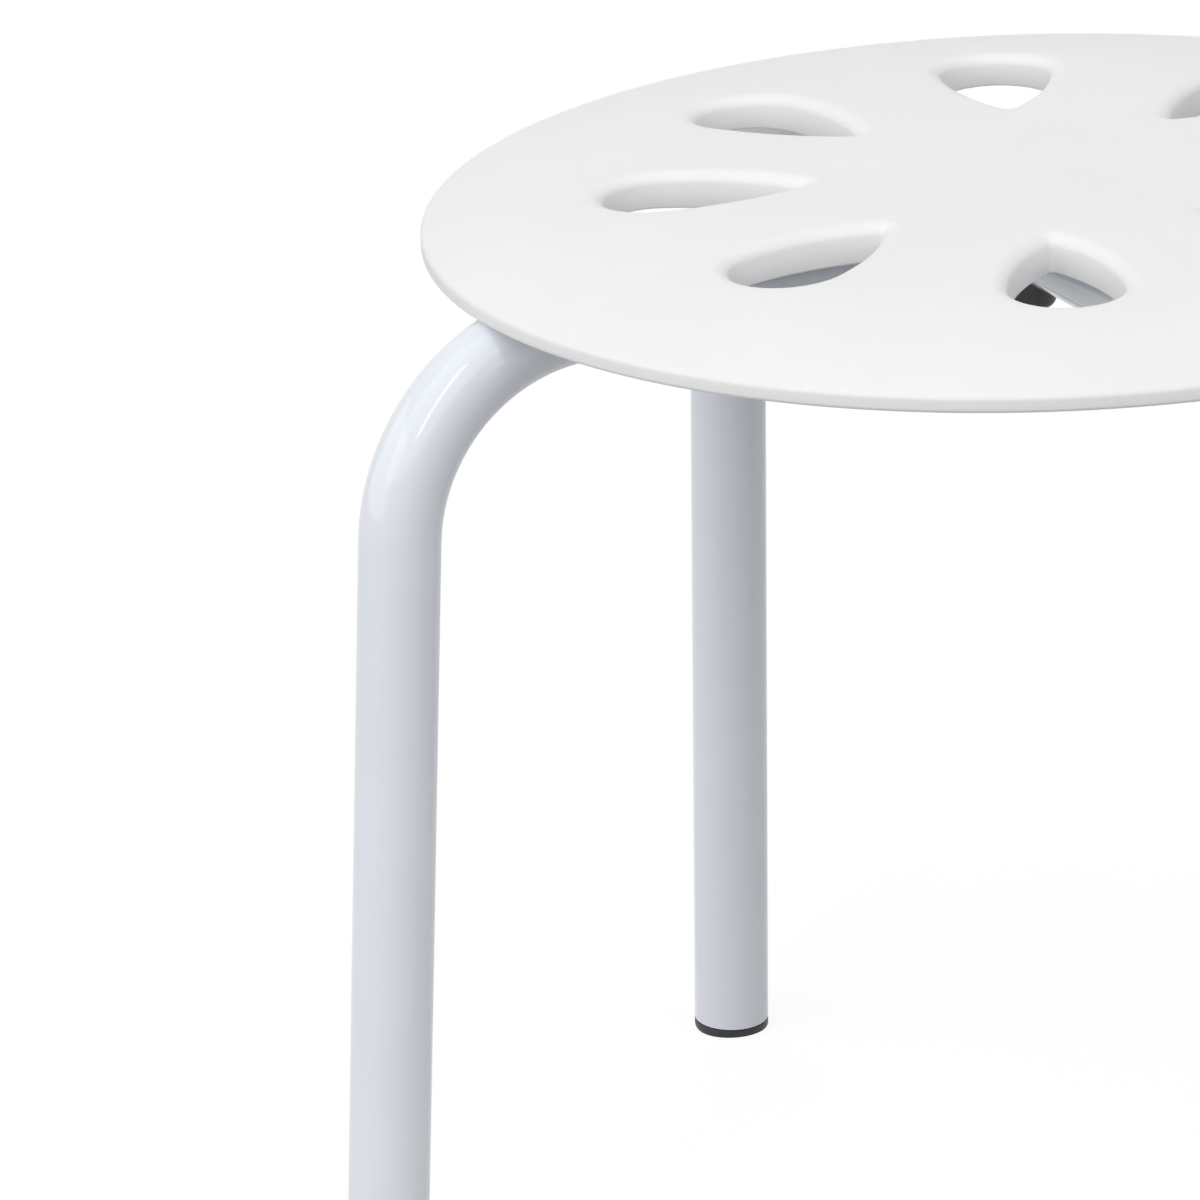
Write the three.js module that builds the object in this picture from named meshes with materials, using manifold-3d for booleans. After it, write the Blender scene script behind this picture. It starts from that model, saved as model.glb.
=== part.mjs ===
import * as THREE from 'three';
import { mergeVertices } from 'three/addons/utils/BufferGeometryUtils.js';
import Module from 'manifold-3d';

// A low round stacking stool: a crowned plastic seat with eight petal holes on a bent tube frame.
// Millimetres, +Z up, the floor at z = 0 and the origin under the middle of the seat.
// The front is -Y, and the four legs stand on the diagonals.

// Seat shell
const SEAT_HEIGHT = 291.5;
const SEAT_DIAMETER = 298;
const SEAT_CROWN = 9;
const SEAT_FLAT_RADIUS = 45;
const SEAT_THICKNESS = 4.4;
const SEAT_OVER_TUBE = 3.15;
const SEAT_EDGE_ROUND = 1.4;
const CROWN_POWER = 3.5;

// Petal holes: a wide round end toward the rim, a narrow tip toward the middle and full sides
const HOLE_COUNT = 8;
const HOLE_RIM_MARGIN = 44.8;
const HOLE_LENGTH = 49;
const HOLE_WIDTH = 27.8;
const HOLE_TIP_RADIUS = 1.2;
const HOLE_SIDE_RADIUS = 64.4;
const HOLE_EDGE_ROUND = 3.3;
const HOLE_COLLAR_DEPTH = 8.2;
const HOLE_COLLAR_WALL = 2.4;

// Bent steel tube
const TUBE_DIAMETER = 20;
const TUBE_WALL = 1.2;
const BEND_RADIUS = 50;
const LEG_OUTSET = 19.5;
const LEG_SPLAY_DEGREES = 4;
const WELD_SIZE = 2;

// Plug feet
const FOOT_HEAD = 3;
const FOOT_STEM = 16;
const FOOT_EDGE_ROUND = 1.8;

// Stacking bumpers under the tubes, and the pitch that they set
const STACK_PITCH = 35;
const BUMPER_RIM_MARGIN = 49;
const BUMPER_DIAMETER = 12;
const BUMPER_EDGE_ROUND = 2.2;
const BUMPER_STEM_DIAMETER = 8;
const BUMPER_STEM_REACH = 3;

// Seat screws inside the tubes, and the bosses that they bite into
const SCREW_DIAMETER = 4;
const SCREW_HEAD_DIAMETER = 7.2;
const SCREW_HEAD_HEIGHT = 2.2;
const SCREW_COVER = 1.6;
const BOSS_DIAMETER = 17;
const BOSS_WRAP = 2;

// Clearance between neighbours, and how far a cutter runs past what it cuts
const FIT_GAP = 0.3;
const OVERRUN = 2;

// Facets
const SEAT_SEGMENTS = 64;
const SEAT_RINGS = 8;
const ROUND_STEPS = 3;
const PETAL_WIDE_STEPS = 12;
const PETAL_TIP_STEPS = 4;
const PETAL_SIDE_STEPS = 4;
const TUBE_SIDES = 20;
const BEND_STEPS = 8;
const SMALL_SIDES = 16;

// Worked out from the sizes above
const seatRadius = SEAT_DIAMETER / 2;
const tubeRadius = TUBE_DIAMETER / 2;
const boreRadius = tubeRadius - TUBE_WALL;
const splay = THREE.MathUtils.degToRad(LEG_SPLAY_DEGREES);
const petalEnd = seatRadius - HOLE_RIM_MARGIN;
const bumperCircle = seatRadius - BUMPER_RIM_MARGIN;
const bumperRadius = BUMPER_DIAMETER / 2;
const stemRadius = BUMPER_STEM_DIAMETER / 2;
const screwRadius = SCREW_DIAMETER / 2;
const screwHeadRadius = SCREW_HEAD_DIAMETER / 2;
const cornerReach = seatRadius + LEG_OUTSET;
const bendReach = cornerReach - BEND_RADIUS * Math.tan((Math.PI / 2 - splay) / 2);

// Height of the seat's upper surface at a distance from the middle: flat, then falling to the rim
function seatTop(reach) {
  const fall = Math.max(reach - SEAT_FLAT_RADIUS, 0) / (seatRadius - SEAT_FLAT_RADIUS);
  return SEAT_HEIGHT - SEAT_CROWN * fall ** CROWN_POWER;
}

// Height of the tube's top line above the centre of its straight run, along the run and the bend
function tubeTopAboveRun(reach) {
  const past = Math.max(reach - bendReach, 0);
  return Math.sqrt((BEND_RADIUS + tubeRadius) ** 2 - past ** 2) - BEND_RADIUS;
}

// The run lies so high that the shell keeps its least thickness in the grooves over the tubes
function runHeight() {
  let height = Infinity;
  for (let step = 0; step <= SEAT_SEGMENTS; step += 1) {
    const reach = seatRadius * step / SEAT_SEGMENTS;
    const under = seatTop(reach) - SEAT_OVER_TUBE - FIT_GAP;
    height = Math.min(height, under - tubeTopAboveRun(reach));
  }
  return height;
}
const runZ = runHeight();

// A closed three.js geometry as a solid, and back
function toSolid(geometry) {
  const plain = geometry.clone();
  plain.deleteAttribute('normal');
  plain.deleteAttribute('uv');
  const merged = mergeVertices(plain);
  const corners = merged.index.array;
  const kept = [];
  for (let i = 0; i < corners.length; i += 3) {
    const [a, b, c] = [corners[i], corners[i + 1], corners[i + 2]];
    if (a !== b && b !== c && c !== a) kept.push(a, b, c);
  }
  return new wasm.Manifold(new wasm.Mesh({
    numProp: 3,
    vertProperties: new Float32Array(merged.attributes.position.array),
    triVerts: new Uint32Array(kept),
  }));
}

function toGeometry(solid) {
  const mesh = solid.getMesh();
  const geometry = new THREE.BufferGeometry();
  geometry.setAttribute('position', new THREE.BufferAttribute(mesh.vertProperties, 3));
  geometry.setIndex(new THREE.BufferAttribute(mesh.triVerts, 1));
  geometry.computeVertexNormals();
  return geometry;
}

// A profile of [radius, height] points turned about the vertical axis
function turned(profile, segments) {
  const points = profile.map(([radius, height]) => new THREE.Vector2(radius, height));
  return new THREE.LatheGeometry(points, segments).rotateX(Math.PI / 2);
}

// Points of an arc in a profile, from one angle to another
function arcPoints(centreRadius, centreHeight, radius, fromAngle, toAngle) {
  const points = [];
  for (let step = 0; step <= ROUND_STEPS; step += 1) {
    const angle = fromAngle + (toAngle - fromAngle) * step / ROUND_STEPS;
    const out = centreRadius + radius * Math.cos(angle);
    points.push([out, centreHeight + radius * Math.sin(angle)]);
  }
  return points;
}

// A plain upright cylinder between two heights
function post(radius, bottom, top) {
  const geometry = new THREE.CylinderGeometry(radius, radius, top - bottom, SMALL_SIDES);
  return geometry.rotateX(Math.PI / 2).translate(0, 0, (top + bottom) / 2);
}

// The four arcs of a petal, which meet smoothly: each side's centre lies beyond the other side
function petalArcs() {
  const wide = HOLE_WIDTH / 2;
  const wideCentre = petalEnd - wide;
  const tipCentre = petalEnd - HOLE_LENGTH + HOLE_TIP_RADIUS;
  const apart = wideCentre - tipCentre;
  const [toTip, toWide] = [HOLE_SIDE_RADIUS - HOLE_TIP_RADIUS, HOLE_SIDE_RADIUS - wide];
  const past = (apart ** 2 + toTip ** 2 - toWide ** 2) / (2 * apart);
  const [x, y] = [tipCentre + past, Math.sqrt(toTip ** 2 - past ** 2)];
  const wideTurn = Math.atan2(y, wideCentre - x);
  const tipTurn = Math.atan2(y, tipCentre - x);
  const side = { x, radius: HOLE_SIDE_RADIUS, steps: PETAL_SIDE_STEPS };
  const wideEnd = { x: wideCentre, y: 0, radius: wide, steps: PETAL_WIDE_STEPS };
  const tip = { x: tipCentre, y: 0, radius: HOLE_TIP_RADIUS, steps: PETAL_TIP_STEPS };
  const round = 2 * Math.PI;
  return [
    { ...wideEnd, from: -wideTurn, to: wideTurn },
    { ...side, y: -y, from: wideTurn, to: tipTurn },
    { ...tip, from: tipTurn, to: round - tipTurn },
    { ...side, y, from: round - tipTurn, to: round - wideTurn },
  ];
}

// The petal outline in plan, grown by an offset
function petalOutline(offset) {
  const points = [];
  for (const { x, y, radius, from, to, steps } of petalArcs()) {
    for (let step = 0; step < steps; step += 1) {
      const angle = from + (to - from) * step / steps;
      const out = new THREE.Vector2(Math.cos(angle), Math.sin(angle)).multiplyScalar(radius + offset);
      points.push(out.add(new THREE.Vector2(x, y)));
    }
  }
  return points;
}

// A closed solid through a stack of outlines that have the same number of points
function stacked(outlines) {
  const count = outlines[0].length;
  const positions = outlines.flat().flatMap((point) => point.toArray());
  const indices = [];
  for (let layer = 0; layer < outlines.length - 1; layer += 1) {
    for (let i = 0; i < count; i += 1) {
      const low = layer * count + i;
      const lowNext = layer * count + (i + 1) % count;
      indices.push(low, lowNext, lowNext + count);
      indices.push(low, lowNext + count, low + count);
    }
  }
  const flat = outlines[0].map((point) => new THREE.Vector2(point.x, point.y));
  const last = (outlines.length - 1) * count;
  for (const [a, b, c] of THREE.ShapeUtils.triangulateShape(flat, [])) {
    indices.push(c, b, a);
    indices.push(last + a, last + b, last + c);
  }
  const geometry = new THREE.BufferGeometry();
  geometry.setAttribute('position', new THREE.Float32BufferAttribute(positions, 3));
  geometry.setIndex(indices);
  return geometry;
}

// The cutter of one petal hole: an upright wall that opens in a rolled edge under the seat's surface
function petalCutter() {
  const levels = [[0, HOLE_COLLAR_DEPTH + OVERRUN]];
  for (let step = 0; step <= ROUND_STEPS; step += 1) {
    const angle = step / (ROUND_STEPS + 1) * Math.PI / 2;
    const offset = HOLE_EDGE_ROUND * (1 - Math.cos(angle));
    levels.push([offset, HOLE_EDGE_ROUND * (1 - Math.sin(angle))]);
  }
  levels.push([HOLE_EDGE_ROUND, -OVERRUN]);
  return stacked(levels.map(([offset, depth]) => petalOutline(offset).map(
    (point) => new THREE.Vector3(point.x, point.y, seatTop(point.length()) - depth),
  )));
}

// The wall that hangs round a petal hole under the shell
function petalCollar() {
  const bottom = seatTop(petalEnd) - HOLE_COLLAR_DEPTH;
  const top = seatTop(petalEnd) - SEAT_THICKNESS / 2;
  const settings = { depth: top - bottom, bevelEnabled: false };
  const outline = new THREE.Shape(petalOutline(HOLE_COLLAR_WALL));
  return new THREE.ExtrudeGeometry(outline, settings).translate(0, 0, bottom);
}

// The seat's shell in section, from the middle of its underside round the rim to the middle of its top
function shellProfile() {
  const inner = seatRadius - SEAT_EDGE_ROUND;
  const rings = [0];
  for (let ring = 0; ring <= SEAT_RINGS; ring += 1) {
    rings.push(SEAT_FLAT_RADIUS + (inner - SEAT_FLAT_RADIUS) * ring / SEAT_RINGS);
  }
  const under = rings.map((reach) => [reach, seatTop(reach) - SEAT_THICKNESS]);
  const over = rings.map((reach) => [reach, seatTop(reach)]).reverse();
  const lowCentre = seatTop(inner) - SEAT_THICKNESS + SEAT_EDGE_ROUND;
  const highCentre = seatTop(inner) - SEAT_EDGE_ROUND;
  const lowArc = arcPoints(inner, lowCentre, SEAT_EDGE_ROUND, -Math.PI / 2, 0);
  const highArc = arcPoints(inner, highCentre, SEAT_EDGE_ROUND, 0, Math.PI / 2);
  return [...under.slice(0, -1), ...lowArc, ...highArc, ...over.slice(1)];
}

// A path through given points with given directions, one extrusion step from each point to the next
class StationPath extends THREE.Curve {
  constructor(stations) {
    super();
    this.stations = stations;
  }

  between(t) {
    const place = t * (this.stations.length - 1);
    const index = Math.min(Math.round(place), this.stations.length - 1);
    return this.stations[index];
  }

  getPoint(t, target = new THREE.Vector3()) {
    return target.copy(this.between(t).point);
  }

  getTangent(t, target = new THREE.Vector3()) {
    return target.copy(this.between(t).tangent);
  }

  getUtoTmapping(u) {
    return u;
  }
}

// Stations of one leg in its own upright plane, from the start of its bend down to the floor end
function legStations(floorClearance) {
  const stations = [];
  for (let step = 0; step <= BEND_STEPS; step += 1) {
    const angle = Math.PI / 2 - (Math.PI / 2 - splay) * step / BEND_STEPS;
    const reach = bendReach + BEND_RADIUS * Math.cos(angle);
    const height = runZ - BEND_RADIUS + BEND_RADIUS * Math.sin(angle);
    stations.push({ reach, height, along: [Math.sin(angle), -Math.cos(angle)] });
  }
  const low = stations[BEND_STEPS];
  const reach = low.reach + (low.height - floorClearance) * Math.tan(splay);
  stations.push({ reach, height: floorClearance, along: low.along });
  return stations;
}

// A station in the upright plane that stands at an angle round the stool
function placed(station, angle) {
  const [across, up] = station.along;
  const outward = new THREE.Vector3(Math.cos(angle), Math.sin(angle), 0);
  const point = outward.clone().multiplyScalar(station.reach).setZ(station.height);
  return { point, tangent: outward.multiplyScalar(across).setZ(up).normalize() };
}

// The steel ring that runs along a path
function tubeAlong(stations, outer, inner) {
  const section = new THREE.Shape().absarc(0, 0, outer, 0, 2 * Math.PI, false);
  if (inner > 0) section.holes.push(new THREE.Path().absarc(0, 0, inner, 0, 2 * Math.PI, true));
  return new THREE.ExtrudeGeometry(section, {
    steps: stations.length - 1,
    extrudePath: new StationPath(stations),
    curveSegments: TUBE_SIDES / 2,
    bevelEnabled: false,
  });
}

const tubeEndZ = FOOT_HEAD * Math.cos(splay);
const halfLeg = legStations(tubeEndZ);

// One tube that runs under the middle of the seat from foot to foot
function hoopPath(angle) {
  const near = halfLeg.map((station) => placed(station, angle));
  const far = halfLeg.map((station) => placed(station, angle + Math.PI)).reverse();
  for (const station of far) station.tangent.negate();
  return [...far, ...near];
}

// A tube that starts at the middle, where the hoop passes, and ends in one foot
function sideLegPath(angle) {
  const start = { reach: FIT_GAP, height: runZ, along: [1, 0] };
  return [start, ...halfLeg].map((station) => placed(station, angle));
}

// The space that a straight run takes, with its clearance
function runEnvelope(angle, grown) {
  const length = 2 * (cornerReach + OVERRUN);
  const geometry = new THREE.CylinderGeometry(grown, grown, length, 2 * TUBE_SIDES);
  return geometry.rotateZ(angle - Math.PI / 2).translate(0, 0, runZ);
}

const quarter = Math.PI / 2;
const hoopAngle = -quarter / 2;
const legAngle = {
  front_left: -3 * quarter / 2,
  front_right: hoopAngle,
  back_right: quarter / 2,
  back_left: 3 * quarter / 2,
};

const weldAngle = { front: -quarter, right: 0, back: quarter, left: 2 * quarter };

// Screws and bumpers stand in the middle and once on each arm
const stationPlaces = [{ name: 'centre', x: 0, y: 0, reach: 0, angles: [hoopAngle, hoopAngle + quarter] }];
for (const [name, angle] of Object.entries(legAngle)) {
  const [x, y] = [bumperCircle * Math.cos(angle), bumperCircle * Math.sin(angle)];
  stationPlaces.push({ name, x, y, reach: bumperCircle, angles: [angle] });
}

function placesNamed(...names) {
  return stationPlaces.filter((place) => names.includes(place.name));
}

const wasm = await Module();
wasm.setup();

const withGap = tubeRadius + FIT_GAP;
const headTop = runZ + Math.sqrt(boreRadius ** 2 - screwHeadRadius ** 2) - FIT_GAP;

function seatGeometry() {
  let seat = toSolid(turned(shellProfile(), SEAT_SEGMENTS));
  const turns = Array.from({ length: HOLE_COUNT }, (_, i) => (i + 1 / 2) * 2 * Math.PI / HOLE_COUNT);
  for (const turn of turns) seat = seat.add(toSolid(petalCollar().rotateZ(turn)));
  for (const place of stationPlaces) {
    const [bottom, top] = [runZ + tubeRadius - BOSS_WRAP, seatTop(place.reach) - SEAT_THICKNESS / 2];
    const boss = post(BOSS_DIAMETER / 2, bottom, top);
    seat = seat.add(toSolid(boss.translate(place.x, place.y, 0)));
  }
  for (const angle of [hoopAngle, hoopAngle + quarter]) {
    seat = seat.subtract(toSolid(tubeAlong(hoopPath(angle), withGap, 0)));
  }
  for (const turn of turns) seat = seat.subtract(toSolid(petalCutter().rotateZ(turn)));
  for (const place of stationPlaces) {
    const pilot = post(screwRadius + FIT_GAP, runZ, seatTop(place.reach) - SCREW_COVER);
    seat = seat.subtract(toSolid(pilot.translate(place.x, place.y, 0)));
  }
  return toGeometry(seat);
}

// Screw and plug holes through a tube's upper and lower wall
function drilled(tube, places) {
  let solid = tube;
  for (const place of places) {
    const screwHole = post(screwRadius + FIT_GAP, runZ, runZ + tubeRadius + OVERRUN);
    const plugHole = post(stemRadius + FIT_GAP, runZ - tubeRadius - OVERRUN, runZ);
    solid = solid.subtract(toSolid(screwHole.translate(place.x, place.y, 0)));
    solid = solid.subtract(toSolid(plugHole.translate(place.x, place.y, 0)));
  }
  return solid;
}

function hoopGeometry() {
  const tube = toSolid(tubeAlong(hoopPath(hoopAngle), tubeRadius, boreRadius));
  return toGeometry(drilled(tube, placesNamed('centre', 'front_right', 'back_left')));
}

// A side leg's inner end is coped to the hoop's round side
function sideLegGeometry(name) {
  const tube = toSolid(tubeAlong(sideLegPath(legAngle[name]), tubeRadius, boreRadius));
  const coped = tube.subtract(toSolid(runEnvelope(hoopAngle, withGap)));
  return toGeometry(drilled(coped, placesNamed('centre', name)));
}

// A weld bead in the corner between two neighbouring arms, clear of the boss and bumper in the middle
function weldGeometry(angle) {
  const bead = tubeRadius + WELD_SIZE;
  const [along, across] = [hoopAngle, hoopAngle + quarter];
  let solid = toSolid(runEnvelope(along, bead)).intersect(toSolid(runEnvelope(across, bead)));
  for (const arm of [along, across]) solid = solid.subtract(toSolid(runEnvelope(arm, withGap)));
  solid = solid.subtract(toSolid(post(BOSS_DIAMETER / 2 + FIT_GAP, runZ - bead, runZ + bead)));
  const side = 2 * bead;
  const corner = new THREE.BoxGeometry(side, side, side).rotateZ(quarter / 2);
  corner.translate(Math.SQRT2 * bead * Math.cos(angle), Math.SQRT2 * bead * Math.sin(angle), runZ);
  return toGeometry(solid.intersect(toSolid(corner)));
}

// A plug foot: a head as wide as the tube, cut level by the floor, on a stem inside the bore
function footGeometry(name) {
  const round = FOOT_EDGE_ROUND;
  const sole = tubeRadius * Math.sin(splay) / 2;
  const headFace = FOOT_HEAD - FIT_GAP;
  const stem = boreRadius - FIT_GAP;
  const profile = [
    [0, -sole],
    ...arcPoints(tubeRadius - round, round - sole, round, -Math.PI / 2, 0),
    [tubeRadius, headFace],
    [stem, headFace],
    [stem, headFace + FOOT_STEM],
    [0, headFace + FOOT_STEM],
  ];
  const outward = legAngle[name];
  const reach = cornerReach + runZ * Math.tan(splay);
  const foot = turned(profile, TUBE_SIDES).rotateY(-splay).rotateZ(outward);
  foot.translate(reach * Math.cos(outward), reach * Math.sin(outward), 0);
  const floorSize = 2 * (TUBE_DIAMETER + reach);
  const below = new THREE.BoxGeometry(floorSize, floorSize, TUBE_DIAMETER).translate(0, 0, -tubeRadius);
  return toGeometry(toSolid(foot).subtract(toSolid(below)));
}

// A stacking bumper: a round body that saddles the tube, with a stem through its lower wall
function bumperGeometry(place) {
  const bottom = seatTop(place.reach) - STACK_PITCH;
  const round = BUMPER_EDGE_ROUND;
  const profile = [
    [0, bottom],
    ...arcPoints(bumperRadius - round, bottom + round, round, -Math.PI / 2, 0),
    [bumperRadius, runZ - tubeRadius + bumperRadius / 2],
    [0, runZ - tubeRadius + bumperRadius / 2],
  ];
  let solid = toSolid(turned(profile, SMALL_SIDES).translate(place.x, place.y, 0));
  for (const angle of place.angles) solid = solid.subtract(toSolid(runEnvelope(angle, withGap)));
  const stem = post(stemRadius, bottom + round, runZ - boreRadius + BUMPER_STEM_REACH);
  return toGeometry(solid.add(toSolid(stem.translate(place.x, place.y, 0))));
}

// A short screw whose head bears on the inside of the tube's upper wall
function screwGeometry(place) {
  const tip = seatTop(place.reach) - SCREW_COVER - FIT_GAP;
  const profile = [
    [0, headTop - SCREW_HEAD_HEIGHT],
    [screwHeadRadius / 2, headTop - SCREW_HEAD_HEIGHT],
    [screwHeadRadius, headTop - SCREW_HEAD_HEIGHT / 2],
    [screwHeadRadius, headTop],
    [screwRadius, headTop],
    [screwRadius, tip - screwRadius / 2],
    [screwRadius / 2, tip],
    [0, tip],
  ];
  return turned(profile, SMALL_SIDES).translate(place.x, place.y, 0);
}

const finishes = {
  seat: { color: 0xf1f2f2, roughness: 0.42, metalness: 0 },
  frame: { color: 0xe3e8ef, roughness: 0.22, metalness: 0 },
  rubber: { color: 0x1b1b1c, roughness: 0.55, metalness: 0 },
  steel: { color: 0xa9acb0, roughness: 0.35, metalness: 1 },
};

const stool = new THREE.Group();

function addPiece(name, finish, geometry) {
  const piece = new THREE.Mesh(geometry, new THREE.MeshStandardMaterial(finishes[finish]));
  piece.name = name;
  stool.add(piece);
}

addPiece('seat', 'seat', seatGeometry());
addPiece('frame_hoop', 'frame', hoopGeometry());
addPiece('front_left_leg', 'frame', sideLegGeometry('front_left'));
addPiece('back_right_leg', 'frame', sideLegGeometry('back_right'));
for (const [name, angle] of Object.entries(weldAngle)) {
  addPiece(`${name}_weld`, 'frame', weldGeometry(angle));
}
for (const name of Object.keys(legAngle)) addPiece(`${name}_foot`, 'rubber', footGeometry(name));
for (const place of stationPlaces) {
  addPiece(`${place.name}_bumper`, 'rubber', bumperGeometry(place));
  addPiece(`${place.name}_seat_screw`, 'steel', screwGeometry(place));
}

export default stool;
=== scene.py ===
from math import atan2, cos, hypot, pi, radians, sin, sqrt, tan

import bmesh
import bpy
from mathutils import Matrix, Vector


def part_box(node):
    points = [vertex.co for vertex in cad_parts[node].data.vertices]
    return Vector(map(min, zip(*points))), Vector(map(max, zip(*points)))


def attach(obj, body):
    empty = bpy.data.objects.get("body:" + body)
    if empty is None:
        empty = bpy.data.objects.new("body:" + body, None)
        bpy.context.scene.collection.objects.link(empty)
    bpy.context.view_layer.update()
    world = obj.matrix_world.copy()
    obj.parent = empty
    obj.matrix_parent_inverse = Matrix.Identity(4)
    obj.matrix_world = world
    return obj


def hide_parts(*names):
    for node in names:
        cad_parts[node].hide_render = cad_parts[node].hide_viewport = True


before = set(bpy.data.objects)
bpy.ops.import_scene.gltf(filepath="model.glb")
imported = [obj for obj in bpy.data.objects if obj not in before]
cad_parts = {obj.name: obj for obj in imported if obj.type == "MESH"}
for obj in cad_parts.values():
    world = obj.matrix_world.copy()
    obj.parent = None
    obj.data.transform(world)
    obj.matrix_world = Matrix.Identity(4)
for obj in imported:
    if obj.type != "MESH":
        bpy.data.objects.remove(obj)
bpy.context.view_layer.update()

# Lengths are in metres. Sizes of the stool that the frame doesn't give are written in millimetres
MM = 0.001
seat_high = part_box("seat")[1]
hoop_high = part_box("frame_hoop")[1]

# Seat shell
SEAT_RADIUS = seat_high.x
SEAT_TOP = seat_high.z
SEAT_CROWN = 9 * MM
FLAT_RADIUS = 45 * MM
CROWN_POWER = 3.5
SHELL = 4.4 * MM
RIM_TOP_ROUND = 1.5 * MM
RIM_LOW_ROUND = 1.1 * MM
RIM_SLOPE = radians(16)

# Petal holes: a wide round end toward the rim, a narrow tip toward the middle and full sides
PETALS = 8
PETAL_END = SEAT_RADIUS - 44.8 * MM
PETAL_LENGTH = 49 * MM
PETAL_WIDE_RADIUS = 13.9 * MM
PETAL_TIP_RADIUS = 1.2 * MM
PETAL_SIDE_RADIUS = 64.4 * MM
PETAL_ROLL_WIDTH = 4.3 * MM
PETAL_ROLL_DEPTH = 2.8 * MM
COLLAR_DEPTH = 8.2 * MM
COLLAR_WALL = 2.4 * MM
COLLAR_ROUND = 0.6 * MM

# Bent tube
TUBE_RADIUS = 10 * MM
TUBE_WALL = 1.2 * MM
BEND_RADIUS = 50 * MM
LEG_OUTSET = 19.5 * MM
SPLAY = radians(4)
RUN_Z = hoop_high.z - TUBE_RADIUS
FIT_GAP = 0.3 * MM
FOOT_HEAD = 3 * MM
FOOT_ROUND = 1.7 * MM
FOOT_TOP_ROUND = 0.3 * MM
FOOT_STEM = 16 * MM

# Bosses, bumpers and weld beads
BOSS_RADIUS = 8.5 * MM
BOSS_WRAP = 2 * MM
BUMPER_RADIUS = 6 * MM
BUMPER_DRAFT = 0.25 * MM
BUMPER_ROUND = 2.2 * MM
BUMPER_HOLLOW = 0.3 * MM
BEAD_RADIUS = 1.7 * MM
BEAD_RIPPLE = 0.22 * MM
BEAD_RIPPLES = 9
BEAD_END = 1 / 3
BEAD_TAPER_POWER = 8
BEAD_TOP = 7.0 * MM
BEAD_BOTTOM = 7.6 * MM

LEG_HEADING = {"front_left": -135, "front_right": -45, "back_right": 45, "back_left": 135}
CORNER_HEADING = {"front": -90, "right": 0, "back": 90, "left": 180}
HOOP_HEADING = LEG_HEADING["front_right"]

corner_reach = SEAT_RADIUS + LEG_OUTSET
bend_reach = corner_reach - BEND_RADIUS * tan((pi / 2 - SPLAY) / 2)
UP = Vector((0, 0, 1))


def crown(reach):
    """Height of the seat's upper surface at a distance from its middle."""
    fall = max(reach - FLAT_RADIUS, 0) / (SEAT_RADIUS - FLAT_RADIUS)
    return SEAT_TOP - SEAT_CROWN * fall ** CROWN_POWER


def heading(degrees):
    """A direction in plan, by its angle in degrees from the object's right."""
    return Vector((cos(radians(degrees)), sin(radians(degrees)), 0))


def tube_top(x, y):
    """Height of the top of the tubes' clearance over a point in plan, or the floor where no tube is near."""
    height = 0.0
    clear = TUBE_RADIUS + FIT_GAP
    for degrees in LEG_HEADING.values():
        out = heading(degrees)
        reach = x * out.x + y * out.y
        across = y * out.x - x * out.y
        if reach >= 0 and abs(across) < clear:
            side = sqrt(clear ** 2 - across ** 2)
            past = max(reach - bend_reach, 0)
            height = max(height, RUN_Z - BEND_RADIUS + sqrt((BEND_RADIUS + side) ** 2 - past ** 2))
    return height


# Mesh work that several pieces share
SHARP_ANGLE = radians(40)
# A vertex within NEAR of a place counts as being there, and vertices within MERGE become one
NEAR = 0.3 * MM
MERGE = 0.02 * MM


def ring_edges(verts):
    """The edges that join a set of vertices among themselves."""
    chosen = set(verts)
    touching = {e for v in chosen for e in v.link_edges}
    return [e for e in touching if e.verts[0] in chosen and e.verts[1] in chosen]


def extrude_ring(bm, verts, place):
    """Extrudes a ring of vertices and puts each new one where place says."""
    made = bmesh.ops.extrude_edge_only(bm, edges=ring_edges(verts))["geom"]
    fresh = [v for v in made if isinstance(v, bmesh.types.BMVert)]
    for v in fresh:
        v.co = place(v.co)
    return fresh


def finish_piece(name, bm, material, slot, *nodes):
    """Turns finished mesh work into a smooth piece that stands for its CAD nodes."""
    bmesh.ops.recalc_face_normals(bm, faces=bm.faces)
    mesh = bpy.data.meshes.new(name)
    bm.to_mesh(mesh)
    bm.free()
    mesh.shade_smooth()
    mesh.set_sharp_from_angle(angle=SHARP_ANGLE)
    mesh.materials.append(material)
    piece = bpy.data.objects.new(name, mesh)
    bpy.context.scene.collection.objects.link(piece)
    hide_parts(*nodes)
    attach(piece, "root")
    return piece


# Seat
WIDE_STEPS = 40
SIDE_STEPS = 16
TIP_STEPS = 12
SECTOR_OUT_STEPS = 26
SECTOR_IN_STEPS = 16
SECTOR_SIDE_STEPS = (WIDE_STEPS + 2 * SIDE_STEPS + TIP_STEPS - SECTOR_OUT_STEPS - SECTOR_IN_STEPS) // 2
SECTOR_RINGS = 8
ROLL_STEPS = 8
SECTOR_IN = FLAT_RADIUS + 2 * MM
SECTOR_OUT = SEAT_RADIUS - 31 * MM
RIM_RINGS = 8
MIDDLE_RINGS = 4
BOSS_SIDES = 48
BOSS_RINGS = 4


def arc_of_verts(bm, start, centre, angle, steps):
    """Spins a vertex into an arc and returns its first and last vertex."""
    first = bm.verts.new(start)
    spun = bmesh.ops.spin(bm, geom=[first], cent=centre, axis=UP, angle=angle, steps=steps)
    return first, spun["geom_last"][0]


def line_of_verts(bm, start, end, steps):
    """Steps a vertex along a straight line and joins it to the vertex at the line's end."""
    stride = (end.co - start.co) / steps
    last = bmesh.ops.spin(bm, geom=[start], cent=(0, 0, 0), axis=UP, dvec=stride, angle=0, steps=steps - 1)
    bm.edges.new((last["geom_last"][0], end))


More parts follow.
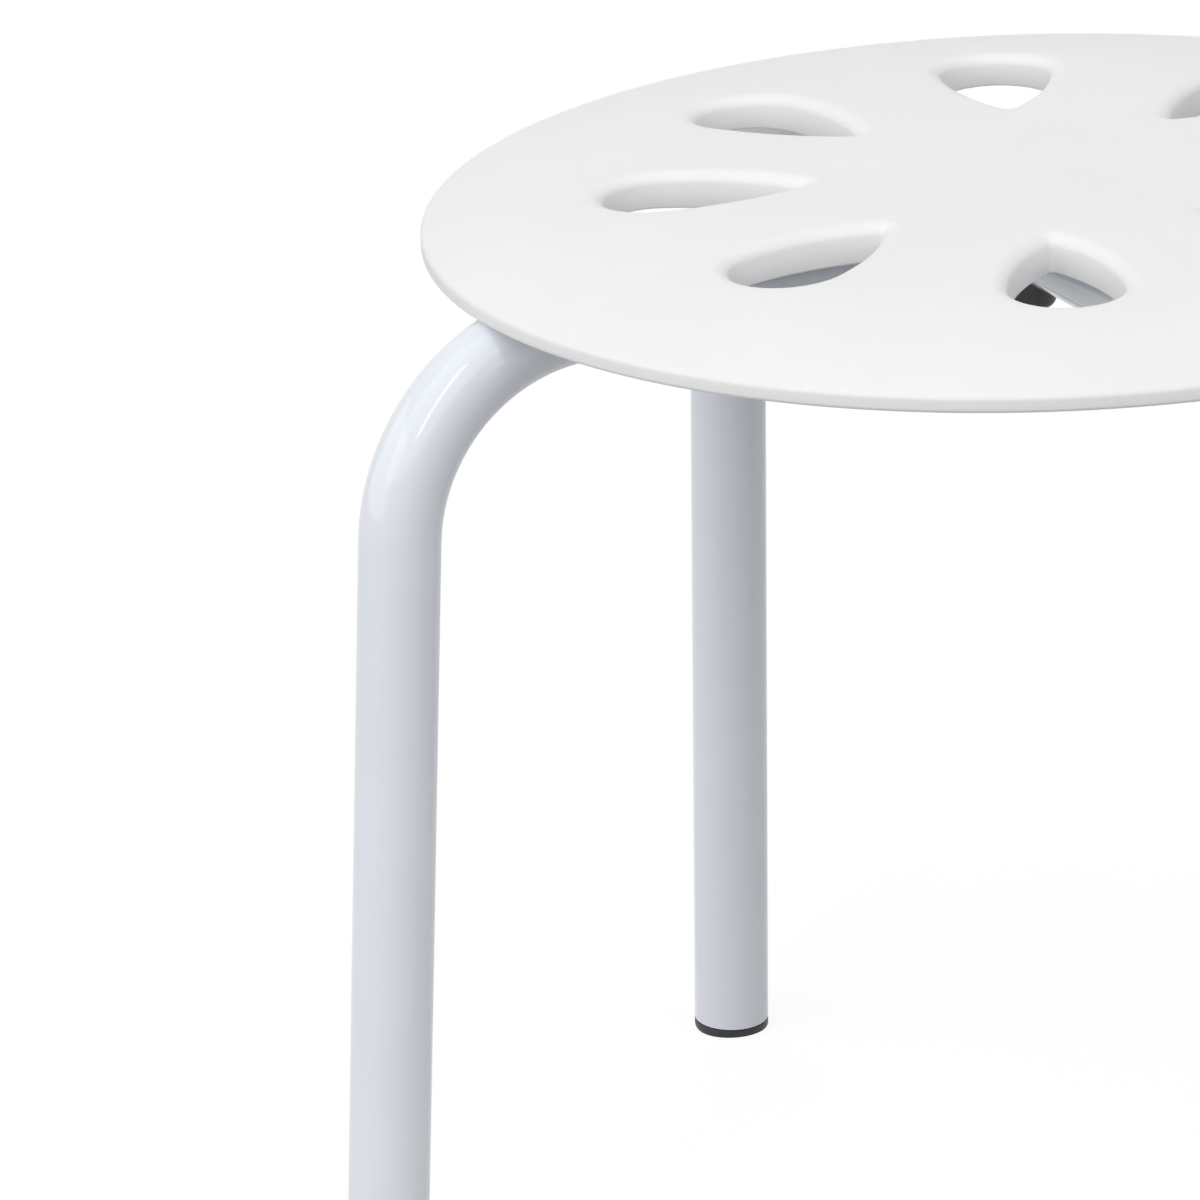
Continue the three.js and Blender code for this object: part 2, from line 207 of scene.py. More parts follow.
# A petal's four arcs meet smoothly, and each side's centre lies beyond the other side
petal_wide = Vector((PETAL_END - PETAL_WIDE_RADIUS, 0, 0))
petal_tip = Vector((PETAL_END - PETAL_LENGTH + PETAL_TIP_RADIUS, 0, 0))
apart = petal_wide.x - petal_tip.x
to_tip, to_wide = PETAL_SIDE_RADIUS - PETAL_TIP_RADIUS, PETAL_SIDE_RADIUS - PETAL_WIDE_RADIUS
past_tip = (apart ** 2 + to_tip ** 2 - to_wide ** 2) / (2 * apart)
petal_side = Vector((petal_tip.x + past_tip, -sqrt(to_tip ** 2 - past_tip ** 2), 0))
wide_turn = atan2(-petal_side.y, petal_wide.x - petal_side.x)
tip_turn = atan2(-petal_side.y, petal_tip.x - petal_side.x)


def at_height(verts, height):
    """Lifts vertices to the heights that a function of the reach gives."""
    for v in verts:
        v.co.z = height(hypot(v.co.x, v.co.y))
    return verts


def petal_outline(bm, offset, height):
    """One petal's outline, grown by an offset: the wide end, a side, the tip and the other side."""
    before = set(bm.verts)
    other_side = Vector((petal_side.x, -petal_side.y, 0))
    toward_start = Vector((cos(wide_turn), -sin(wide_turn), 0))
    first = last = bm.verts.new(petal_wide + (PETAL_WIDE_RADIUS + offset) * toward_start)
    for centre, angle, steps in (
            (petal_wide, 2 * wide_turn, WIDE_STEPS), (petal_side, tip_turn - wide_turn, SIDE_STEPS),
            (petal_tip, 2 * (pi - tip_turn), TIP_STEPS), (other_side, tip_turn - wide_turn, SIDE_STEPS)):
        last = bmesh.ops.spin(bm, geom=[last], cent=centre, axis=UP, angle=angle, steps=steps)["geom_last"][0]
    bmesh.ops.weld_verts(bm, targetmap={last: first})
    return at_height([v for v in bm.verts if v not in before], height)


def petal_outward(co):
    """The direction in plan in which a petal's outline grows at a point of it."""
    point = Vector((co.x, abs(co.y), 0))
    from_side = point - petal_side
    turn = atan2(from_side.y, from_side.x)
    centre = petal_wide if turn < wide_turn else petal_tip if turn > tip_turn else petal_side
    out = (point - centre).normalized()
    return Vector((out.x, out.y if co.y > 0 else -out.y, 0))


def sector_outline(bm, height):
    """The edge of one petal's share of the seat, between two circles and two radii."""
    before = set(bm.verts)
    half = pi / PETALS
    out = Vector((cos(half), sin(half), 0))
    a, b = arc_of_verts(bm, Vector((out.x, -out.y, 0)) * SECTOR_OUT, Vector(), 2 * half, SECTOR_OUT_STEPS)
    c, d = arc_of_verts(bm, out * SECTOR_IN, Vector(), -2 * half, SECTOR_IN_STEPS)
    line_of_verts(bm, b, c, SECTOR_SIDE_STEPS)
    line_of_verts(bm, d, a, SECTOR_SIDE_STEPS)
    return at_height([v for v in bm.verts if v not in before], height)


def bridge(bm, ring, other):
    """Joins two rings by a band of faces, and returns the edges across it."""
    return bmesh.ops.bridge_loops(bm, edges=ring_edges(ring) + ring_edges(other))["edges"]


def sheet_sector(bm, offset, height):
    """A petal's share of one face of the shell, from the petal's edge to the sector's."""
    across = bridge(bm, petal_outline(bm, offset, height), sector_outline(bm, height))
    inner = bmesh.ops.subdivide_edges(bm, edges=across, cuts=SECTOR_RINGS - 1)["geom_inner"]
    at_height([item for item in inner if isinstance(item, bmesh.types.BMVert)], height)


def petal_wall(bm, levels):
    """The rolled edge, wall and collar of a petal, extruded level by level from the upper sheet's edge."""
    (offset, height), *rest = levels
    ring = [v for v in bm.verts if v.is_boundary and abs(v.co.y) < v.co.x * tan(pi / PETALS) - NEAR
            and SECTOR_IN + NEAR < v.co.xy.length < SECTOR_OUT - NEAR]
    for next_offset, next_height in rest:
        def place(co, grow=next_offset - offset, height=next_height):
            moved = co + petal_outward(co) * grow
            return Vector((moved.x, moved.y, height(moved.xy.length)))
        ring = extrude_ring(bm, ring, place)
        offset = next_offset


def under(reach):
    """Height of the shell's lower surface at a distance from the seat's middle."""
    return crown(reach) - SHELL


def petal_wall_levels():
    """Offset and height of each ring from the rolled upper edge down the wall and back up the collar."""
    levels = []
    for step in range(ROLL_STEPS + 1):
        angle = pi / 2 * step / ROLL_STEPS
        offset, depth = PETAL_ROLL_WIDTH * (1 - sin(angle)), PETAL_ROLL_DEPTH * (1 - cos(angle))
        levels.append((offset, lambda reach, depth=depth: crown(reach) - depth))
    foot = crown(PETAL_END) - COLLAR_DEPTH
    rounding = [(0, COLLAR_ROUND), (COLLAR_ROUND / 3, COLLAR_ROUND / 3), (COLLAR_ROUND, 0)]
    turned = [(COLLAR_WALL - inward, up) for inward, up in reversed(rounding)]
    for offset, up in rounding + turned:
        levels.append((offset, lambda reach, up=up: foot + up))
    for grown, drop in rounding:
        levels.append((COLLAR_WALL + grown, lambda reach, drop=drop: under(reach) - drop))
    return levels


def rim_profile():
    """Places of the rings from the sectors' outer circle over the rim and back under it."""
    inner = SEAT_RADIUS - RIM_TOP_ROUND
    low_inner = SEAT_RADIUS - RIM_LOW_ROUND
    places = []
    for step in range(1, RIM_RINGS + 1):
        reach = SECTOR_OUT + (inner - SECTOR_OUT) * step / RIM_RINGS
        places.append((reach, crown(reach)))
    for step in range(1, ROLL_STEPS + 1):
        angle = RIM_SLOPE + (pi / 2 - RIM_SLOPE) * step / ROLL_STEPS
        reach = inner + RIM_TOP_ROUND * (sin(angle) - sin(RIM_SLOPE)) / (1 - sin(RIM_SLOPE))
        places.append((reach, crown(inner) - RIM_TOP_ROUND * (cos(RIM_SLOPE) - cos(angle))))
    foot = under(low_inner)
    for step in range(ROLL_STEPS + 1):
        angle = pi / 2 * step / ROLL_STEPS
        places.append((low_inner + RIM_LOW_ROUND * cos(angle), foot + RIM_LOW_ROUND * (1 - sin(angle))))
    for step in range(1, RIM_RINGS + 1):
        reach = low_inner + (SECTOR_OUT - low_inner) * step / RIM_RINGS
        places.append((reach, under(reach)))
    return places


def at_reach(co, reach, height):
    """The place at a height and a distance from the seat's middle, in the direction of another."""
    return Vector((co.x / co.xy.length * reach, co.y / co.xy.length * reach, height))


def close_middle(bm, height):
    """Rings from the sectors' inner circle to the middle of a face."""
    ring = [v for v in bm.verts if v.is_boundary and abs(v.co.z - height(0)) < NEAR
            and v.co.xy.length < SECTOR_IN + NEAR]
    for step in range(1, MIDDLE_RINGS + 1):
        reach = SECTOR_IN * (1 - step / (MIDDLE_RINGS + 1))
        ring = extrude_ring(bm, ring, lambda co, reach=reach: at_reach(co, reach, height(0)))
    bmesh.ops.contextual_create(bm, geom=ring_edges(ring))


def boss(bm, x, y):
    """A screw boss under the shell, hollowed where it sits on a tube."""
    bottom = RUN_Z + TUBE_RADIUS - BOSS_WRAP
    top = crown(hypot(x, y)) - SHELL / 2
    made = bmesh.ops.create_cone(
        bm, cap_ends=True, segments=BOSS_SIDES, radius1=BOSS_RADIUS, radius2=BOSS_RADIUS,
        depth=top - bottom, matrix=Matrix.Translation((x, y, (top + bottom) / 2)))["verts"]
    sides = {f for v in made for f in v.link_faces}
    floor = [f for f in sides if all(v.co.z < bottom + NEAR for v in f.verts)]
    for _ in range(BOSS_RINGS):
        bmesh.ops.inset_region(bm, faces=floor, thickness=BOSS_RADIUS / (BOSS_RINGS + 1))
    saddle = {v for f in bm.faces for v in f.verts if abs(v.co.z - bottom) < NEAR / 3}
    for v in saddle:
        if hypot(v.co.x - x, v.co.y - y) < BOSS_RADIUS + NEAR:
            v.co.z = max(bottom, tube_top(v.co.x, v.co.y))


def make_seat(material):
    """The crowned shell with its petal holes, made from one petal's sector turned round, and its bosses."""
    bm = bmesh.new()
    levels = petal_wall_levels()
    sheet_sector(bm, levels[0][0], crown)
    petal_wall(bm, levels)
    sheet_sector(bm, levels[-1][0], under)
    bmesh.ops.rotate(bm, verts=bm.verts, cent=(0, 0, 0), matrix=Matrix.Rotation(pi / PETALS, 3, "Z"))
    step = 2 * pi / PETALS
    bmesh.ops.spin(bm, geom=bm.verts[:] + bm.edges[:] + bm.faces[:], cent=(0, 0, 0), axis=UP,
                   angle=step * (PETALS - 1), steps=PETALS - 1, use_duplicate=True)
    bmesh.ops.remove_doubles(bm, verts=bm.verts, dist=MERGE)
    close_middle(bm, crown)
    close_middle(bm, under)
    rim = [v for v in bm.verts if v.is_boundary and v.co.z > SEAT_TOP - SHELL / 2 - SEAT_CROWN / 3]
    for reach, height in rim_profile():
        rim = extrude_ring(bm, rim, lambda co, reach=reach, height=height: at_reach(co, reach, height))
    bmesh.ops.remove_doubles(bm, verts=bm.verts, dist=MERGE)
    for v in bm.verts:
        v.co.z = max(v.co.z, min(tube_top(v.co.x, v.co.y), crown(v.co.xy.length) - SHELL / 3))
    for place in bumper_places.values():
        boss(bm, place.x, place.y)
    return finish_piece("seat_shell", bm, material, "seat_plastic", "seat")


# Bent tubes
TUBE_SIDES = 64
BEND_STEPS = 40
WALL_SHARE = 1 - TUBE_WALL / TUBE_RADIUS


def leg_skin(bm, radius, degrees, inner_end):
    """One skin of a leg from the middle out, round the bend and down, and its rings at the two ends."""
    out = heading(degrees)
    across = UP.cross(out)
    turn = Matrix((out, across, UP)).transposed().to_4x4() @ Matrix.Rotation(pi / 2, 4, "Y")
    start = bmesh.ops.create_circle(bm, segments=TUBE_SIDES, radius=radius,
                                    matrix=Matrix.Translation(UP * RUN_Z) @ turn)["verts"]
    near = extrude_ring(bm, start, lambda co: co + out * bend_reach)
    for v in start:
        v.co += out * inner_end(v.co.z - RUN_Z)
    centre = out * bend_reach + UP * (RUN_Z - BEND_RADIUS)
    spun = bmesh.ops.spin(bm, geom=near + ring_edges(near), cent=centre, axis=across,
                          angle=pi / 2 - SPLAY, steps=BEND_STEPS)["geom_last"]
    low = [v for v in spun if isinstance(v, bmesh.types.BMVert)]
    down = out * sin(SPLAY) - UP * cos(SPLAY)
    bend_end = RUN_Z - BEND_RADIUS + BEND_RADIUS * sin(SPLAY)
    length = bend_end / cos(SPLAY) - FOOT_HEAD
    end = extrude_ring(bm, low, lambda co: co + down * length)
    return start, end


def leg_wall(bm, degrees, inner_end):
    """A leg's outer and inner skin, joined at the floor end, and the outer skin's ring at the other."""
    outer, foot = leg_skin(bm, TUBE_RADIUS, degrees, inner_end)
    leg_skin(bm, TUBE_RADIUS - TUBE_WALL, degrees, inner_end)
    middle = sum((v.co for v in foot), Vector()) / len(foot)
    extrude_ring(bm, foot, lambda co: middle + (co - middle) * WALL_SHARE)
    return outer


def make_hoop(material):
    """The tube that runs from foot to foot under the seat."""
    bm = bmesh.new()
    for degrees in (HOOP_HEADING, HOOP_HEADING + 180):
        leg_wall(bm, degrees, lambda height: 0)
    bmesh.ops.remove_doubles(bm, verts=bm.verts, dist=MERGE)
    return finish_piece("hoop_tube", bm, material, "frame_paint", "frame_hoop")


def make_side_leg(name, material):
    """A leg whose inner end is coped to the hoop's round side."""
    bm = bmesh.new()
    clear = TUBE_RADIUS + FIT_GAP
    out = heading(LEG_HEADING[name])

    def cope(height):
        return sqrt(max(clear ** 2 - height ** 2, 0))

    def inner_edge(co):
        height = (co.z - RUN_Z) * WALL_SHARE
        across = (co - UP * RUN_Z - out * co.dot(out)) * WALL_SHARE
        return UP * RUN_Z + across + out * cope(height)

    extrude_ring(bm, leg_wall(bm, LEG_HEADING[name], cope), inner_edge)
    bmesh.ops.remove_doubles(bm, verts=bm.verts, dist=MERGE)
    return finish_piece(f"{name}_leg_tube", bm, material, "frame_paint", f"{name}_leg")


# Weld beads
BEAD_STEPS = 44
BEAD_SIDES = 20


def make_weld(name, material):
    """A rippled bead in the corner between two arms."""
    bm = bmesh.new()
    out = heading(CORNER_HEADING[name])

    def slice_at(share):
        """The middle of the bead's slice at a share of its length, and the slice's own directions."""
        height = -BEAD_BOTTOM + (BEAD_BOTTOM + BEAD_TOP) * share
        reach = sqrt(2 * (TUBE_RADIUS ** 2 - height ** 2))
        along = (out * (-2 * height / reach) + UP).normalized()
        across = UP.cross(out)
        turn = Matrix((across.cross(along), across, along)).transposed().to_4x4()
        return Matrix.Translation(out * (reach + BEAD_RADIUS / 2) + UP * (RUN_Z + height)) @ turn

    ring = bmesh.ops.create_circle(bm, segments=BEAD_SIDES, radius=BEAD_RADIUS * BEAD_END, cap_ends=True,
                                   matrix=slice_at(0))["verts"]
    for step in range(1, BEAD_STEPS + 1):
        share = step / BEAD_STEPS
        taper = min(1, sqrt(max(1 - (2 * share - 1) ** BEAD_TAPER_POWER, 0)) + BEAD_END)
        size = BEAD_RADIUS * taper + BEAD_RIPPLE * abs(sin(share * pi * BEAD_RIPPLES))
        move = slice_at(share)
        back = slice_at((step - 1) / BEAD_STEPS).inverted()
        ring = extrude_ring(bm, ring, lambda co, back=back, move=move, size=size: (
            move @ ((back @ co).normalized() * size)))
    bmesh.ops.contextual_create(bm, geom=ring_edges(ring))
    return finish_piece(f"{name}_weld_bead", bm, material, "frame_paint", f"{name}_weld")


# Feet and bumpers
FOOT_ROUND_STEPS = 8
FOOT_TOP_ROUND_STEPS = 2
BUMPER_SIDES = 56
BUMPER_ROUND_STEPS = 9


def face_above(bm, height):
    """The largest face whose middle lies over a height."""
    above = (f for f in bm.faces if f.calc_center_median().z > height)
    return max(above, key=lambda f: f.calc_area())


def round_edges(bm, inside, size, steps):
    """Rounds the edges whose vertices both lie at heights that inside accepts."""
    edges = [e for e in bm.edges if all(inside(v.co.z) for v in e.verts)]
    bmesh.ops.bevel(bm, geom=edges, offset=size, affect="EDGES", segments=steps, profile=0.5, material=-1)


def make_foot(name, material):
    """A plug with a head under the tube, cut flat at the floor, and a stem inside the tube."""
    bm = bmesh.new()
    out = heading(LEG_HEADING[name])
    sole = TUBE_RADIUS * sin(SPLAY)
    made = bmesh.ops.create_cone(bm, cap_ends=True, segments=TUBE_SIDES, radius1=TUBE_RADIUS,
                                 radius2=TUBE_RADIUS, depth=FOOT_HEAD - FIT_GAP + sole)["verts"]
    middle = (FOOT_HEAD - FIT_GAP - sole) / 2
    bmesh.ops.translate(bm, verts=made, vec=UP * middle)
    round_edges(bm, lambda z: z < 0, FOOT_ROUND, FOOT_ROUND_STEPS)
    round_edges(bm, lambda z: z > FOOT_HEAD - FIT_GAP - NEAR, FOOT_TOP_ROUND, FOOT_TOP_ROUND_STEPS)
    top = [face_above(bm, FOOT_HEAD / 2)]
    bmesh.ops.inset_region(bm, faces=top, thickness=TUBE_WALL)
    bmesh.ops.inset_region(bm, faces=top, thickness=FIT_GAP / 2, depth=FOOT_STEM)
    reach = corner_reach + RUN_Z * tan(SPLAY)
    lean = Matrix.Rotation(-SPLAY, 4, UP.cross(out))
    bmesh.ops.transform(bm, verts=bm.verts, matrix=Matrix.Translation(out * reach) @ lean)
    cut = bmesh.ops.bisect_plane(bm, geom=bm.verts[:] + bm.edges[:] + bm.faces[:], plane_co=(0, 0, 0),
                                 plane_no=(0, 0, -1), clear_outer=True)["geom_cut"]
    bmesh.ops.contextual_create(bm, geom=[e for e in cut if isinstance(e, bmesh.types.BMEdge)])
    return finish_piece(f"{name}_plug_foot", bm, material, "foot_plastic", f"{name}_foot")


def make_bumper(name, material):
    """A rounded plug under a tube, whose top follows the tube's round."""
    bm = bmesh.new()
    place = bumper_places[name]
    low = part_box(f"{name}_bumper")[0].z
    high = RUN_Z - TUBE_RADIUS
    bmesh.ops.create_cone(bm, cap_ends=True, segments=BUMPER_SIDES, radius1=BUMPER_RADIUS - BUMPER_DRAFT,
                          radius2=BUMPER_RADIUS, depth=high - low,
                          matrix=Matrix.Translation((place.x, place.y, (high + low) / 2)))
    round_edges(bm, lambda z: z < low + NEAR, BUMPER_ROUND, BUMPER_ROUND_STEPS)
    top = [face_above(bm, high - NEAR)]
    rim = list(top[0].verts)
    bmesh.ops.inset_region(bm, faces=top, thickness=BUMPER_RADIUS / 4)
    for v in bm.verts:
        if v.co.z > high - NEAR:
            clear = 2 * RUN_Z - tube_top(v.co.x, v.co.y)
            v.co.z = clear if v in rim else clear - BUMPER_HOLLOW
    return finish_piece(f"{name}_bumper_plug", bm, material, "bumper_rubber", f"{name}_bumper")


bumper_places = {}
for bumper_name in ["centre", *LEG_HEADING]:
    box_low, box_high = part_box(f"{bumper_name}_bumper")
    bumper_places[bumper_name] = (box_low + box_high) / 2


# Materials
# Nearly all of a noise's values lie between these two
NOISE_LOW = 0.3
NOISE_HIGH = 0.7


class Nodes:
    """A short way to write a material's nodes and links."""

    def __init__(self, name):
        self.material = bpy.data.materials.new(name)
        self.material.use_nodes = True
        self.tree = self.material.node_tree
        self.shader = self.tree.nodes["Principled BSDF"]
        self.place = self.add("ShaderNodeTexCoord").outputs["Object"]

    def add(self, kind, **settings):
        """A new node, with its settings and its unlinked sockets given by name."""
        node = self.tree.nodes.new(kind)
        for key, value in settings.items():
            if hasattr(node, key):
                setattr(node, key, value)
            else:
                node.inputs[key.replace("_", " ")].default_value = value
        return node

    def noise(self, size, detail=2):
        """Noise whose lumps are about a given size across."""
        node = self.add("ShaderNodeTexNoise", Scale=1 / size, Detail=detail)
        self.tree.links.new(self.place, node.inputs["Vector"])
        return node.outputs["Fac"]

    def spread(self, value, low, high):
        """A noise value spread between two numbers."""
        node = self.add("ShaderNodeMapRange", From_Min=NOISE_LOW, From_Max=NOISE_HIGH,
                        To_Min=low, To_Max=high)
        self.tree.links.new(value, node.inputs["Value"])
        return node.outputs["Result"]

    def tone(self, value, dark, light):
        """A colour between two, by a noise value."""
        node = self.add("ShaderNodeMix", data_type="RGBA")
        node.inputs["A"].default_value = (*dark, 1)
        node.inputs["B"].default_value = (*light, 1)
        self.tree.links.new(self.spread(value, 0, 1), node.inputs["Factor"])
        return node.outputs["Result"]

    def relief(self, value, height, beneath=None):
        """Small unevenness of a given height, laid over a larger one if that is given."""
        node = self.add("ShaderNodeBump", Distance=height)
        self.tree.links.new(value, node.inputs["Height"])
        if beneath:
            self.tree.links.new(beneath, node.inputs["Normal"])
        return node.outputs["Normal"]

    def finish(self, tone, roughness, relief, **even):
        """Links what varies over the surface, and sets what is even on the shader itself."""
        for socket, source in (("Base Color", tone), ("Roughness", roughness), ("Normal", relief)):
            self.tree.links.new(source, self.shader.inputs[socket])
        for socket, value in even.items():
            self.shader.inputs[socket.replace("_", " ")].default_value = value
        return self.material


def grained_plastic():
    """The seat's matt white plastic: a fine grain over a slight swell."""
    n = Nodes("white_grained_plastic")
    tone = n.tone(n.noise(size=40 * MM), dark=(0.832, 0.833, 0.837), light=(0.85, 0.85, 0.855))
    roughness = n.spread(n.noise(size=9 * MM, detail=3), low=0.52, high=0.6)
    swell = n.relief(n.noise(size=6 * MM), height=0.02 * MM)
    grain = n.relief(n.noise(size=0.7 * MM, detail=3), height=0.05 * MM, beneath=swell)
    return n.finish(tone, roughness, grain, IOR=1.49, Specular_IOR_Level=0.3)


def powder_coat():
    """The tubes' white paint: a dull base, whose gloss is all in its smooth coat."""
    n = Nodes("white_powder_coat")
    tone = n.tone(n.noise(size=30 * MM), dark=(0.775, 0.812, 0.872), light=(0.795, 0.83, 0.888))
    roughness = n.spread(n.noise(size=5 * MM, detail=3), low=0.26, high=0.34)
    peel = n.relief(n.noise(size=1.6 * MM), height=0.012 * MM)
    return n.finish(tone, roughness, peel, Specular_IOR_Level=0, Coat_Weight=1, Coat_Roughness=0.06)


def black_plastic(name, rough_low, rough_high, grain):
    """Black plastic with a grain of a given size."""
    n = Nodes(name)
    tone = n.tone(n.noise(size=4 * MM), dark=(0.010, 0.010, 0.011), light=(0.016, 0.016, 0.017))
    roughness = n.spread(n.noise(size=2 * MM, detail=3), low=rough_low, high=rough_high)
    relief = n.relief(n.noise(size=grain, detail=3), height=0.03 * MM)
    return n.finish(tone, roughness, relief)


def plated_steel():
    """The screws' plated steel."""
    n = Nodes("plated_screw_steel")
    tone = n.tone(n.noise(size=1 * MM), dark=(0.5, 0.51, 0.53), light=(0.62, 0.62, 0.63))
    roughness = n.spread(n.noise(size=0.5 * MM, detail=3), low=0.28, high=0.4)
    relief = n.relief(n.noise(size=0.3 * MM), height=0.01 * MM)
    return n.finish(tone, roughness, relief, Metallic=1)


seat_plastic = grained_plastic()
frame_paint = powder_coat()
foot_plastic = black_plastic("black_foot_plastic", rough_low=0.38, rough_high=0.5, grain=0.5 * MM)
bumper_plastic = black_plastic("black_bumper_plastic", rough_low=0.34, rough_high=0.46, grain=0.8 * MM)
screw_steel = plated_steel()

make_seat(seat_plastic)
make_hoop(frame_paint)
for leg_name in ("front_left", "back_right"):
    make_side_leg(leg_name, frame_paint)
for corner_name in CORNER_HEADING:
    make_weld(corner_name, frame_paint)
for leg_name in LEG_HEADING:
    make_foot(leg_name, foot_plastic)
for bumper_name in bumper_places:
    make_bumper(bumper_name, bumper_plastic)
    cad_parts[f"{bumper_name}_seat_screw"].material_slots[0].material = screw_steel


# Studio: a pale floor that keeps the shadow and fades into a white world, and soft lamps
FLOOR_SIZE = 4
FADE_START = 0.5
FADE_END = 1.8
FLOOR_SEEN = 0.15
FLOOR_BOUNCE = 0.45
FLOOR_LIFT = 0.88
WORLD_LIGHT = 0.14
AIM_SHARE = 0.7
LAMP_AIM = UP * (SEAT_TOP * AIM_SHARE)


def maths(tree, operation, first, second):
    """The result of a maths node on a socket and a second socket or number."""
    node = tree.nodes.new("ShaderNodeMath")
    node.operation = operation
    tree.links.new(first, node.inputs[0])
    if isinstance(second, bpy.types.NodeSocket):
        tree.links.new(second, node.inputs[1])
    else:
        node.inputs[1].default_value = second
    return node.outputs[0]


def ranged(tree, value, **limits):
    """A node that carries a value from one range to another, with the limits given by name."""
    node = tree.nodes.new("ShaderNodeMapRange")
    for name, limit in limits.items():
        node.inputs[name.replace("_", " ")].default_value = limit
    tree.links.new(value, node.inputs["Value"])
    return node


def seen_directly(tree):
    """One for the camera's own rays and those that mirror or pass through a surface, zero for the rest."""
    path = tree.nodes.new("ShaderNodeLightPath")
    total = path.outputs["Is Camera Ray"]
    for ray in ("Is Glossy Ray", "Is Transmission Ray"):
        total = maths(tree, "MAXIMUM", total, path.outputs[ray])
    return total


def floor_paint():
    """Shadow and glow where the floor is seen, a grey where it bounces light, clear below and far out."""
    material = bpy.data.materials.new("white_floor")
    material.use_nodes = True
    tree = material.node_tree
    tree.nodes.clear()
    seen = seen_directly(tree)
    diffuse = tree.nodes.new("ShaderNodeBsdfDiffuse")
    shade = ranged(tree, seen, To_Min=FLOOR_BOUNCE, To_Max=FLOOR_SEEN)
    tree.links.new(shade.outputs["Result"], diffuse.inputs["Color"])
    glow = tree.nodes.new("ShaderNodeEmission")
    tree.links.new(maths(tree, "MULTIPLY", seen, FLOOR_LIFT), glow.inputs["Strength"])
    both = tree.nodes.new("ShaderNodeAddShader")
    tree.links.new(diffuse.outputs[0], both.inputs[0])
    tree.links.new(glow.outputs[0], both.inputs[1])
    reach = tree.nodes.new("ShaderNodeVectorMath")
    reach.operation = "LENGTH"
    tree.links.new(tree.nodes.new("ShaderNodeTexCoord").outputs["Object"], reach.inputs[0])
    fade = ranged(tree, reach.outputs["Value"], From_Min=FADE_START, From_Max=FADE_END)
    fade.interpolation_type = "SMOOTHSTEP"
    below = tree.nodes.new("ShaderNodeNewGeometry").outputs["Backfacing"]
    clear = tree.nodes.new("ShaderNodeBsdfTransparent")
    blend = tree.nodes.new("ShaderNodeMixShader")
    tree.links.new(maths(tree, "MAXIMUM", below, fade.outputs["Result"]), blend.inputs[0])
    tree.links.new(both.outputs[0], blend.inputs[1])
    tree.links.new(clear.outputs[0], blend.inputs[2])
    out = tree.nodes.new("ShaderNodeOutputMaterial")
    tree.links.new(blend.outputs[0], out.inputs["Surface"])
    return material


def make_floor():
    bm = bmesh.new()
    bmesh.ops.create_grid(bm, x_segments=1, y_segments=1, size=FLOOR_SIZE / 2)
    mesh = bpy.data.meshes.new("floor")
    bm.to_mesh(mesh)
    bm.free()
    mesh.materials.append(floor_paint())
    floor = bpy.data.objects.new("floor", mesh)
    bpy.context.scene.collection.objects.link(floor)


def make_world():
    """A world that is white to the camera and lights the object more faintly."""
    world = bpy.data.worlds.new("studio")
    bpy.context.scene.world = world
    world.use_nodes = True
    tree = world.node_tree
    glow = tree.nodes["Background"]
    glow.inputs["Color"].default_value = (1, 1, 1, 1)
    strength = ranged(tree, seen_directly(tree), To_Min=WORLD_LIGHT, To_Max=1)
    tree.links.new(strength.outputs["Result"], glow.inputs["Strength"])


def make_lamp(name, azimuth, elevation, distance, width, height, watts):
    """A soft box that looks at the stool's middle from a direction given as for the camera."""
    spot = LAMP_AIM + direction(azimuth, elevation) * distance
    light = bpy.data.lights.new(name, "AREA")
    light.shape = "RECTANGLE"
    light.size, light.size_y = width, height
    light.energy = watts
    lamp = bpy.data.objects.new(name, light)
    turn = (LAMP_AIM - spot).to_track_quat("-Z", "Y").to_matrix().to_4x4()
    lamp.matrix_world = Matrix.Translation(spot) @ turn
    bpy.context.scene.collection.objects.link(lamp)


def direction(azimuth, elevation):
    """From the object toward a viewer at an azimuth and elevation in degrees."""
    a, e = radians(azimuth), radians(elevation)
    return Vector((sin(a) * cos(e), -cos(a) * cos(e), sin(e)))


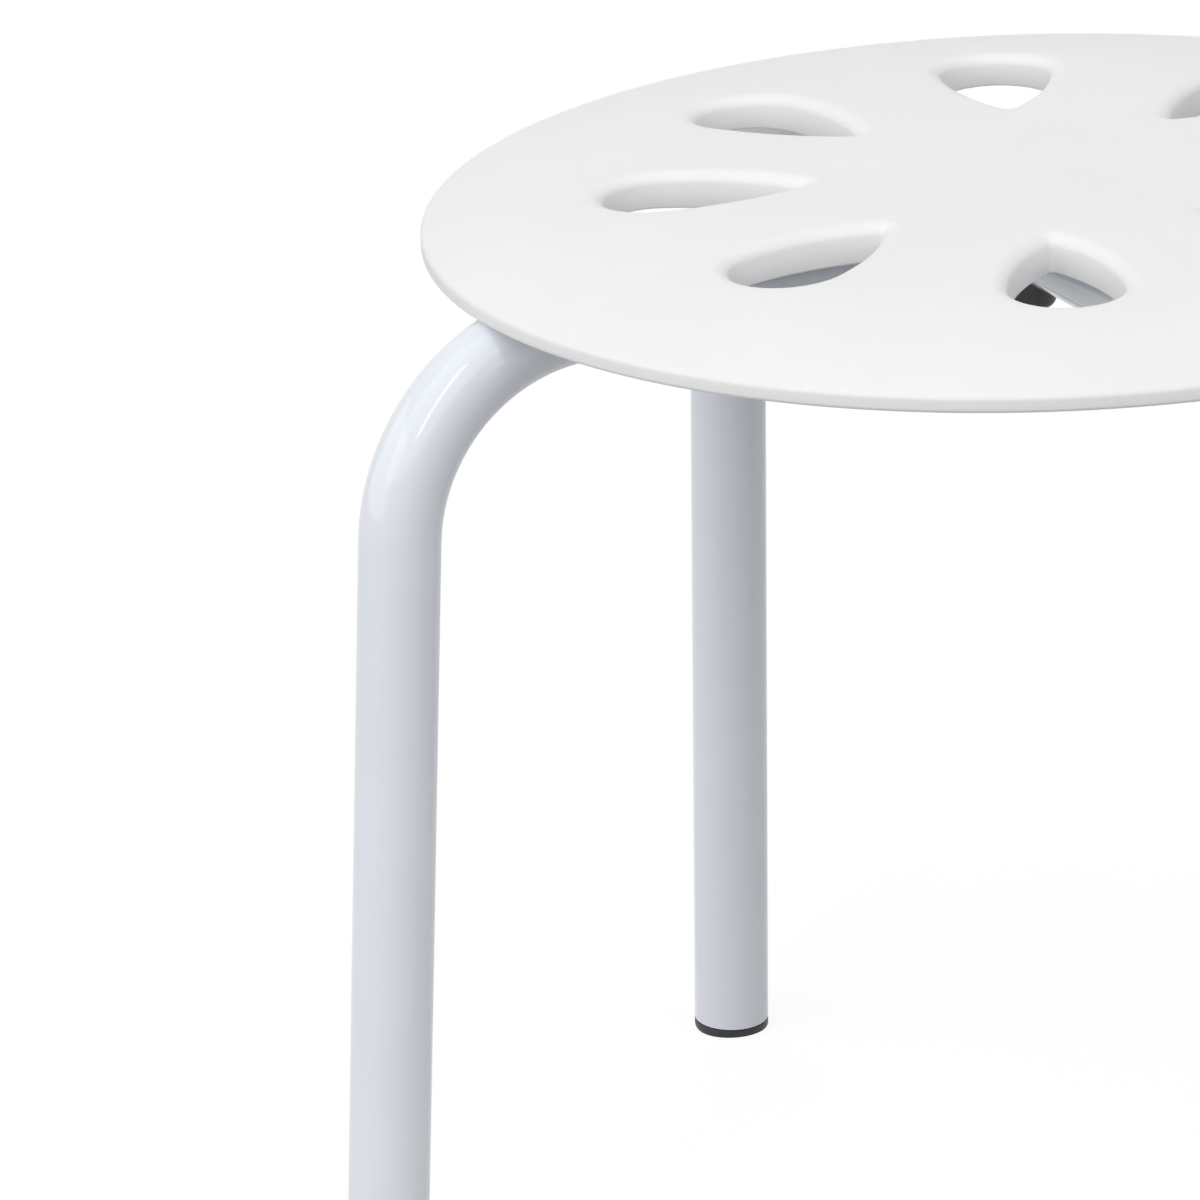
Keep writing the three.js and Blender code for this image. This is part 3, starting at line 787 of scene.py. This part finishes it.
make_floor()
make_world()
make_lamp("key", azimuth=-14, elevation=46, distance=5, width=8, height=7, watts=219)
make_lamp("left", azimuth=-65, elevation=14, distance=5, width=7, height=3, watts=70)
make_lamp("right", azimuth=75, elevation=35, distance=5, width=6, height=5, watts=102)
make_lamp("back", azimuth=197, elevation=55, distance=4.5, width=4, height=4, watts=54)
make_lamp("streak", azimuth=-8, elevation=38, distance=1.9, width=0.2, height=1.05, watts=2.8)

# Camera: the photograph's angle, lens and framing. Pixels are those of its 1200 by 1200 frame
VIEW_AZIMUTH = 17.4
VIEW_ELEVATION = 17.18
VIEW_ROLL = -1.53
VIEW_DISTANCE = 2.2
FRAME_PIXELS = 1200
FOCAL_PIXELS = 8998
RIM_MIDDLE_PIXELS = (1030.2, 204.0)
SENSOR = 36
NEAREST_SEEN = 0.05
FARTHEST_SEEN = 100


def make_camera():
    """Turns the camera so that the middle of the rim's circle falls on its place in the frame."""
    back = direction(VIEW_AZIMUTH, VIEW_ELEVATION)
    rim_middle = UP * (SEAT_TOP - SEAT_CROWN)
    level = (-back).to_track_quat("-Z", "Y").to_matrix() @ Matrix.Rotation(radians(VIEW_ROLL), 3, "Z")
    across = (RIM_MIDDLE_PIXELS[0] - FRAME_PIXELS / 2) / FOCAL_PIXELS
    down = (RIM_MIDDLE_PIXELS[1] - FRAME_PIXELS / 2) / FOCAL_PIXELS
    seen_at = Vector((across, -down, -1)).normalized()
    turn = level @ seen_at.rotation_difference(Vector((0, 0, -1))).to_matrix()
    lens = bpy.data.cameras.new("camera")
    lens.sensor_width = SENSOR
    lens.lens = FOCAL_PIXELS / FRAME_PIXELS * SENSOR
    lens.clip_start, lens.clip_end = NEAREST_SEEN, FARTHEST_SEEN
    camera = bpy.data.objects.new("camera", lens)
    camera.matrix_world = Matrix.Translation(rim_middle + back * VIEW_DISTANCE) @ turn.to_4x4()
    bpy.context.scene.collection.objects.link(camera)
    bpy.context.scene.camera = camera


make_camera()
bpy.context.scene.view_settings.view_transform = "Standard"
